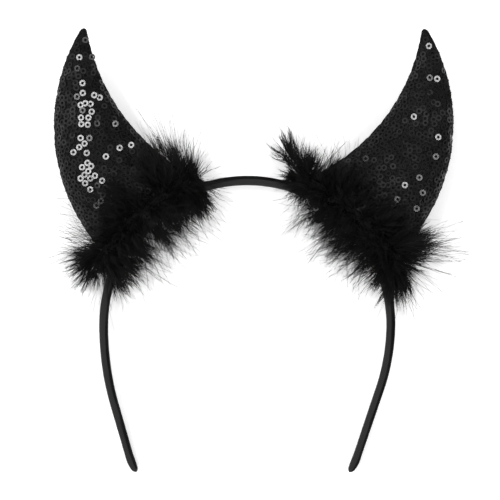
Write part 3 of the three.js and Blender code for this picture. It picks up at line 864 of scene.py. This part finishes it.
def sequinPiece(side, form, cloth):
    rng = np.random.default_rng(form["seat"]["seed"])
    place, outwards, lit = sequinPlaces(form, side, cloth, rng)
    facing = catchLight(place, tilted(outwards, rng, sequin["lean"]), lit, side, rng)
    steep = np.sqrt(np.clip(1 - (facing * outwards).sum(1) ** 2, 0, 1))
    lift = sequin["lift"] + 0.35 * sequin["width"] * steep + rng.uniform(-0.08, 0.12, len(place))
    place = place + outwards * lift[:, None]
    # Painted reflection: each sequin gets its own brightness, darker in broad patches and spread at random
    patch = np.array([noise.noise(Vector(p) * 0.07) + 0.5 * noise.noise(Vector(p) * 0.2) for p in place])
    shade = np.clip(0.4 + 0.6 * patch + rng.normal(0, 0.28, len(place)), 0, 1)
    mesh = pointMesh("points", laid(place), (), {"facing": laidTurn(facing), "shade": shade})
    piece = newPiece("horn_" + side + "_sequins", mesh)
    values = {label: sequin[label.lower()] / 1000 for label in ("Width", "Hole", "Film")}
    runShapeTree(piece, sequinShape, {**values, "Material": filmMaterial})
    print(side, "horn:", len(place), "sequins,", triangleCount(piece), "triangles")
    return piece


# Slip stitches that close the two panels, from one face over the seam to the other
def stitchPiece(side, form, cloth):
    rng = np.random.default_rng(form["seat"]["seed"] + 50)
    paths = []
    for edge in (0.0, math.pi):
        shares = np.arange(0.1, form["tipCentre"] - 0.01, 2.3 / form["length"])
        shares = shares + rng.normal(0, 0.002, shares.shape)
        path = []
        for k, turn in enumerate((-0.26, -0.1, 0.1, 0.26)):
            place, outwards = onCloth(cloth, form, shares + 0.0012 * k, np.full(shares.shape, edge + turn))
            path.append(place + outwards * (0.02 if k in (0, 3) else horn["piping"] + 0.1))
        paths.append(np.stack(path, axis=1))
    paths = np.concatenate(paths)
    thickness = np.full(paths.shape[:2], 0.13)
    return strandPiece("horn_" + side + "_stitches", [(paths, thickness, thickness * 0)], sewingMaterial, 5)


# The seam's piping: a fold of the knit drawn over a thread, all round the horn's outline
def pipingPiece(side, form, cloth):
    shares = np.concatenate((np.linspace(0.01, form["roundingStart"], 90), form["shares"][-5:]))
    outer = onCloth(cloth, form, shares, np.zeros(len(shares)))[0]
    inner = onCloth(cloth, form, shares, np.full(len(shares), math.pi))[0]
    path = np.vstack((outer, inner[::-1]))[None]
    wear = [0.04 * noise.noise(Vector(p) * 0.4) for p in path[0]]
    thickness = horn["piping"] + np.array(wear)[None]
    return strandPiece("horn_" + side + "_piping", [(path, thickness, thickness * 0)], clothMaterial, 9)


def makeHorn(side):
    form = hornForm(seats[side])
    cloth = stuffedGrid(form, side)
    across = ringPlaces(cloth)
    along = form["shares"] * form["length"]
    mesh = skinMesh("horn_" + side + "_cloth", laid(cloth).reshape(cloth.shape), across, along)
    mesh.materials.append(clothMaterial)
    piece = newPiece("horn_" + side + "_cloth", mesh)
    finer = piece.modifiers.new("finer", "SUBSURF")
    finer.levels = finer.render_levels = 1
    room = bandGrid(70, 20, spare=0.3, worn=False)[0]
    mesh = skinMesh("groove", laid(room).reshape(room.shape), ringPlaces(room), np.arange(len(room)))
    groove = newPiece("groove", mesh)
    cut = piece.modifiers.new("groove", "BOOLEAN")
    cut.operation = "DIFFERENCE"
    cut.solver = "EXACT"
    cut.object = groove
    keepEvaluated(piece)
    bpy.data.objects.remove(groove)
    sewn = [make(side, form, cloth) for make in (sequinPiece, pipingPiece, stitchPiece)]
    for made in [piece] + sewn:
        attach(made, "root")
    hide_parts("horn_" + side)
    print(side, "horn cloth:", triangleCount(piece), "triangles")
    return form


hornForms = {side: makeHorn(side) for side in seats}


# Marabou: a cord round the foot of each horn, with soft plumes standing out all round it
trim = {
    "cordRadius": 1.9,
    "glueGap": 0.3,
    "rise": 4.6,
    "plumes": 136,
    "tuftPlumes": 4, "tuftClumps": 13,
    "endCrowd": 1.8,  # how many more plumes a millimetre at the two ends of the loop
    "clumps": {"front": 22, "back": 17},  # on a plume
    "barbs": 5,  # that cling together in a clump
    "barbLength": (14.0, 10.0),  # at the root and the tip of a plume
    "quillShare": 0.68,  # how far the quill runs into the plume's reach
    "pile": 12.5, "backPile": 9.0,  # how far the down stands up in front and behind
    "farthest": 31.0, "farthestWisp": 48.0,
    "lowestLean": -95, "leanRange": 181,  # degrees, from over the band to up the horn
    "droop": 0.1,
    "thickness": (0.1, 0.095, 0.07, 0.022),  # radius along a barb
    "wisps": 255,
    "wispThickness": 0.105,
}
# The outline as seen from the front, charted round the middle of each trim: degrees, from up
# the horn and then to the outer side, and how far the dense down reaches, in millimetres
trimMiddle = {"left": (-47.3, 51.6), "right": (46.4, 52.4)}
downReach = {
    "left": (
        (0, 25.5), (10, 24), (20, 22), (30, 21), (40, 21), (50, 21), (60, 22), (70, 24), (75, 29),
        (79, 42), (84, 45), (88, 46), (94, 39), (102, 38), (110, 41), (120, 43), (130, 28), (140, 22),
        (150, 20), (160, 18),
        (170, 19), (180, 21), (190, 18), (200, 16), (210, 20), (220, 21), (230, 26), (240, 30), (250, 27),
        (260, 27), (270, 28), (280, 29), (290, 30), (300, 33), (310, 35), (320, 38), (330, 37), (340, 31),
        (350, 27),
    ),
    "right": (
        (0, 21.5), (10, 21.5), (20, 22), (30, 23), (40, 26), (50, 34), (60, 43), (70, 47), (80, 42),
        (88, 38), (96, 44), (104, 50), (112, 52), (116, 28), (124, 25), (130, 26), (140, 23), (150, 19),
        (160, 18.5), (170, 18.5), (180, 19), (190, 16), (200, 18), (210, 21), (220, 20), (230, 16),
        (240, 17), (250, 26), (260, 35), (270, 42), (278, 49), (285, 33), (290, 27), (300, 26), (310, 27),
        (320, 29), (330, 29.5), (340, 26), (350, 23),
    ),
}
# How much farther the long single barbs reach, every thirty degrees
wispReach = {
    "left": (4, 18, 27, 20, 17, 12, 9, 8, 9, 13, 12, 13),
    "right": (4, 13, 20, 17, 15, 9, 8, 8, 12, 10, 9, 8),
}
# Where the points of the tufts that stand out from the rest are, in the plane of the arch
tufts = {
    "left": ((-60.0, 10.5), (-57.0, 13.5), (-82.1, 27.3), (-78.0, 17.4), (-48.6, 89.9), (-39.9, 86.4)),
    "right": ((72.2, 13.3), (75.9, 18.1), (68.5, 11.3), (70.5, 9.5), (12.7, 88.7), (88.5, 44.1),
              (85.0, 50.7)),
}


def marabouMaterial():
    # Turkey down, dyed black: soft and matt, painted shade darkest at the quills, a brownish cast at the thin
    # ends
    material, tree, shader = newMaterial("dyed black marabou down")
    shade = addNode(tree, "ShaderNodeAttribute", attribute_name="shade").outputs["Fac"]
    solid = addNode(tree, "ShaderNodeTexCoord").outputs["Object"]
    patches = addNode(tree, "ShaderNodeTexNoise", {"Vector": solid, "Scale": 120.0, "Detail": 2.0})
    mixed = addNode(tree, "ShaderNodeMath", {0: shade, 1: patches}, operation="MULTIPLY")
    base = colourRamp(tree, mixed, [(0.0, "#080808"), (0.55, "#1e1d1d")])
    setInputs(tree, shader, {"Base Color": base, "Roughness": 0.7, "Specular IOR Level": 0.15})
    return material


def cordLoop(form):
    share = trim["rise"] / form["length"]
    turns = np.linspace(0, 2 * math.pi, 240, endpoint=False)
    loop = hornGrid(form, [share], turns, trim["cordRadius"] + trim["glueGap"])[0]
    # Drawn in at its inner end
    middle = (loop[0] + loop[120]) / 2
    inwards = unit(loop[0] - loop[120])
    near = np.clip((middle - loop) @ inwards / np.linalg.norm(middle - loop[120]), 0, 1)
    return loop + np.outer(near ** 2, inwards) * form["seat"]["drawnIn"]


# Keeps the down out of the horn, the band and the table
def keepOut(points, front, form):
    share, side = locate(form, points[:, :2])
    depth = hornSections(form, share)[3]
    half = depth / 2 * np.clip(1 - side ** 2, 0, 1) ** horn["seamPinch"] + 0.6
    within = (np.abs(side) < 1) & (share > form["footShare"]) & (share < 1)
    z = points[:, 2]
    z = np.where(within, np.maximum(z * front, half) * front, z)
    reach = np.hypot(points[:, 0], points[:, 1])
    onBand = (np.abs(reach - headband["crownRadius"]) < headband["thickness"] / 2 + 0.4) & (np.abs(z) < 3.7)
    z = np.where(onBand, 3.7 * front, z)
    return np.column_stack((points[:, :2], z))


def clearTable(points, rng):
    height = laid(points)[:, 2] * 1000
    low = np.clip(rng.uniform(0.3, 1.0, len(points)) - height, 0, None)
    return points + np.outer(low / math.cos(lie["tilt"]), (0, 0, 1))


def outlinePoints(side, farther=0.0):
    middle = np.array(trimMiddle[side])
    upwards = unit(middle)
    outwards = np.array((upwards[1], -upwards[0])) * seats[side]["mirror"]
    degrees, reach = np.array(downReach[side]).T
    reach = reach + farther * np.interp(degrees, np.arange(0, 361, 30), wispReach[side] + wispReach[side][:1])
    turns = np.radians(degrees)
    return middle + (np.outer(np.cos(turns), upwards) + np.outer(np.sin(turns), outwards)) * reach[:, None]


# How far it is from a point to the outline, in the direction in which the plume lies
def toOutline(outline, start, ahead):
    after = np.roll(outline, -1, axis=0)
    edge, gap = after - outline, outline - start
    cross = ahead[0] * edge[:, 1] - ahead[1] * edge[:, 0]
    cross = np.where(np.abs(cross) < 1e-9, 1e-9, cross)
    distance = (gap[:, 0] * edge[:, 1] - gap[:, 1] * edge[:, 0]) / cross
    place = (gap[:, 0] * ahead[1] - gap[:, 1] * ahead[0]) / cross
    hits = distance[(distance > 0.5) & (place >= 0) & (place <= 1)]
    return float(np.clip(hits.min(), 2.2, 45.0)) if len(hits) else 2.2


def plumePoints(root, heading, bend, length, t):
    t = np.asarray(t)[..., None]
    sink = np.array((0, 0, -1.0)) * trim["droop"]
    return root + heading * length * t + (bend + sink) * length * t ** 2


def growTrim(side, form):
    rng = np.random.default_rng(40 + form["seat"]["seed"])
    loop = cordLoop(form)
    outlines = {False: outlinePoints(side), True: outlinePoints(side, 1.0)}
    middle = (loop[0] + loop[120]) / 2
    tangents = unit(np.roll(loop, -1, axis=0) - np.roll(loop, 1, axis=0))
    climbs = unit(loop * (1, 1, 0))
    outs = unit(np.cross(tangents, climbs))
    outs *= np.sign(((loop - middle) * outs).sum(1, keepdims=True))
    # The ends of the loop carry more plumes than its sides
    crowd = 1 + trim["endCrowd"] * (1 - np.abs(outs[:, 2]))
    steps = np.linalg.norm(np.roll(loop, -1, axis=0) - loop, axis=1) * crowd
    places = np.concatenate(([0], np.cumsum(steps)))
    groups = {"front": [], "back": [], "wisps": []}
    points = np.repeat(np.array(tufts[side]), trim["tuftPlumes"], axis=0)
    points = points + rng.normal(0, 1.6, points.shape)
    firstTuft = trim["plumes"] + trim["wisps"]
    for k in range(firstTuft + len(points)):
        tuft = points[k - firstTuft] if k >= firstTuft else None
        wisp = k >= trim["plumes"] and tuft is None
        at = rng.uniform() if wisp else (k + rng.uniform(-0.4, 0.4)) / trim["plumes"] % 1.0
        i = int(np.searchsorted(places, at * places[-1], side="right") - 1) % len(loop)
        root = loop[i]
        # On the faces most plumes lie over the band or up the horn, and fewer stand up between them
        fan = (k * 0.618 + rng.uniform(-0.08, 0.08)) % 1.0
        laidDown = 0.8 * abs(outs[i, 2])
        lean = (1 - laidDown) * fan + laidDown * (0.5 - 0.5 * math.cos(math.pi * fan))
        lean = math.radians(trim["lowestLean"] + trim["leanRange"] * lean)
        heading = outs[i] * math.cos(lean) + climbs[i] * math.sin(lean) + tangents[i] * rng.normal(0, 0.3)
        heading = unit(heading * (1, 1, 0.35 if wisp else 1))
        if tuft is not None:
            near = np.argsort(np.linalg.norm(loop[:, :2] - tuft, axis=1))[:40]
            root = loop[rng.choice(near)]
            heading = unit(np.append(tuft - root[:2], rng.normal(0, 1.5) - 0.5 * root[2]))
        flat = max(np.linalg.norm(heading[:2]), 0.05)
        farthest = trim["farthestWisp" if wisp else "farthest"]
        reach = min(toOutline(outlines[wisp], root[:2], heading[:2] / flat), farthest)
        pile = trim["pile" if heading[2] > 0 else "backPile"]
        length = 1 / math.sqrt((flat / reach) ** 2 + (heading[2] / pile) ** 2)
        length *= rng.uniform(0.8, 1.15) if wisp else rng.uniform(0.9, 1.22)
        if tuft is not None:
            length = np.linalg.norm(tuft - root[:2]) * rng.uniform(0.85, 1.05)
        room = laid(root)[0][2] * 1000 - 1.0
        fall = -heading[2] * length
        if fall > room:
            heading = unit(heading + np.array((0, 0, (fall - room) / length)))
        bend = unit(np.cross(heading, rng.normal(0, 1, 3))) * rng.normal(0, 0.17)
        half = "front" if root[2] + 3 * heading[2] > 0 else "back"
        clumps = trim["clumps"][half] if tuft is None else trim["tuftClumps"]
        strands = wispStrands(root, heading, bend, length, rng) if wisp else plumeStrands(
            root, heading, bend, length, clumps, rng)
        for path, thickness, shade in strands:
            placed = keepOut(path.reshape(-1, 3), 1 if half == "front" else -1, form)
            placed = clearTable(placed, rng).reshape(path.shape)
            groups["wisps" if wisp else half].append((placed, thickness, shade))
    return groups, loop


# A quill with clumps of barbs that cling together and end in a soft point
def plumeStrands(root, heading, bend, length, clumps, rng):
    barbs = trim["barbs"]
    quill = length * trim["quillShare"]
    t = rng.uniform(0.0, 1.0, clumps) ** 0.75
    ahead = unit(heading + 2 * bend * t[:, None])
    sideways = unit(np.cross(ahead, rng.normal(0, 1, (clumps, 3))))
    lean = np.radians(38 - 25 * t) + rng.normal(0, 0.13, clumps)
    barb = trim["barbLength"][0] + (trim["barbLength"][1] - trim["barbLength"][0]) * t
    barb = np.minimum(barb, 0.6 * length + 1) * rng.uniform(0.6, 1.2, clumps)
    out = ahead * np.cos(lean)[:, None] + sideways * np.sin(lean)[:, None]
    start = plumePoints(root, heading, bend, quill, t)
    tip = start + out * barb[:, None]
    shape = (clumps, barbs, 3)
    along = np.clip(t[:, None] + rng.uniform(-0.12, 0.06, shape[:2]), 0, 1)
    p0 = plumePoints(root, heading, bend, quill, along)
    p3 = tip[:, None] + rng.normal(0, 0.5, shape) + out[:, None] * rng.uniform(-3.2, 1.8, (clumps, barbs, 1))
    bow = (sideways * (barb * rng.uniform(0.04, 0.2, clumps))[:, None])[:, None]
    p1 = p0 + (p3 - p0) * 0.34 + bow + rng.normal(0, 0.2, shape)
    p2 = p0 + (p3 - p0) * 0.68 + 0.8 * bow + rng.normal(0, 0.17, shape)
    path = np.stack((p0, p1, p2, p3), axis=2).reshape(-1, 4, 3)
    thickness = np.array(trim["thickness"])[None] * rng.uniform(0.8, 1.15, (len(path), 1))
    # Painted shade: each barb is darker towards its quill, inside the down, on a random tone for each clump
    shade = np.repeat(rng.uniform(0.1, 1.0, clumps), barbs)[:, None] * np.array((0.3, 0.6, 0.9, 1.0))[None]
    stem = plumePoints(root, heading, bend, quill, np.linspace(0, 1, 5))[None]
    return [(path, thickness, shade), (stem, np.array([[0.3, 0.26, 0.2, 0.14, 0.08]]), np.zeros((1, 5)))]


# A few long single barbs that stand out past the rest
def wispStrands(root, heading, bend, length, rng):
    count = int(rng.integers(3, 7))
    t = np.linspace(0.3, 1, 7)
    paths = []
    for _ in range(count):
        own = unit(heading + rng.normal(0, 0.1, 3))
        curl = bend + rng.normal(0, 0.14, 3)
        path = plumePoints(root, own, curl, length * rng.uniform(0.75, 1.08), t)
        paths.append(path + rng.normal(0, 0.15, path.shape))
    paths = np.array(paths)
    thickness = np.linspace(1, 0.45, 7)[None] * trim["wispThickness"] * rng.uniform(0.8, 1.2, (count, 1))
    return [(paths, thickness, np.ones((count, 7)))]


def cordPiece(side, loop):
    turns = np.linspace(0, 2 * math.pi, 10, endpoint=False)
    tangents = unit(np.roll(loop, -1, axis=0) - np.roll(loop, 1, axis=0))[::3]
    centre = loop[::3]
    sideways = unit(np.cross(tangents, (0, 0.3, 1.0)))
    upwards = np.cross(sideways, tangents)
    ring = sideways[:, None] * np.cos(turns)[:, None] + upwards[:, None] * np.sin(turns)[:, None]
    grid = centre[:, None] + ring * (trim["cordRadius"] - 0.2)
    rows, columns = grid.shape[:2]
    faces = []
    for i in range(rows):
        here, after = i * columns, (i + 1) % rows * columns
        faces += [(here + j, here + (j + 1) % columns, after + (j + 1) % columns, after + j)
                  for j in range(columns)]
    mesh = bpy.data.meshes.new("marabou_" + side + "_cord")
    points = laid(grid)
    if facesIn(points - points.mean(0), faces):
        faces = [f[::-1] for f in faces]
    mesh.from_pydata(points.tolist(), [], faces)
    mesh.polygons.foreach_set("use_smooth", [True] * len(faces))
    mesh.materials.append(downMaterial)
    return newPiece("marabou_" + side + "_cord", mesh)


def makeTrim(side):
    form = hornForms[side]
    groups, loop = growTrim(side, form)
    pieces = [cordPiece(side, loop)]
    for name, strands in groups.items():
        piece = strandPiece("marabou_" + side + "_" + name, strands, downMaterial)
        print("marabou", side, name + ":", triangleCount(piece), "triangles")
        pieces.append(piece)
    for piece in pieces:
        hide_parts("marabou_" + side)
        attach(piece, "root")


downMaterial = marabouMaterial()
for side in seats:
    makeTrim(side)
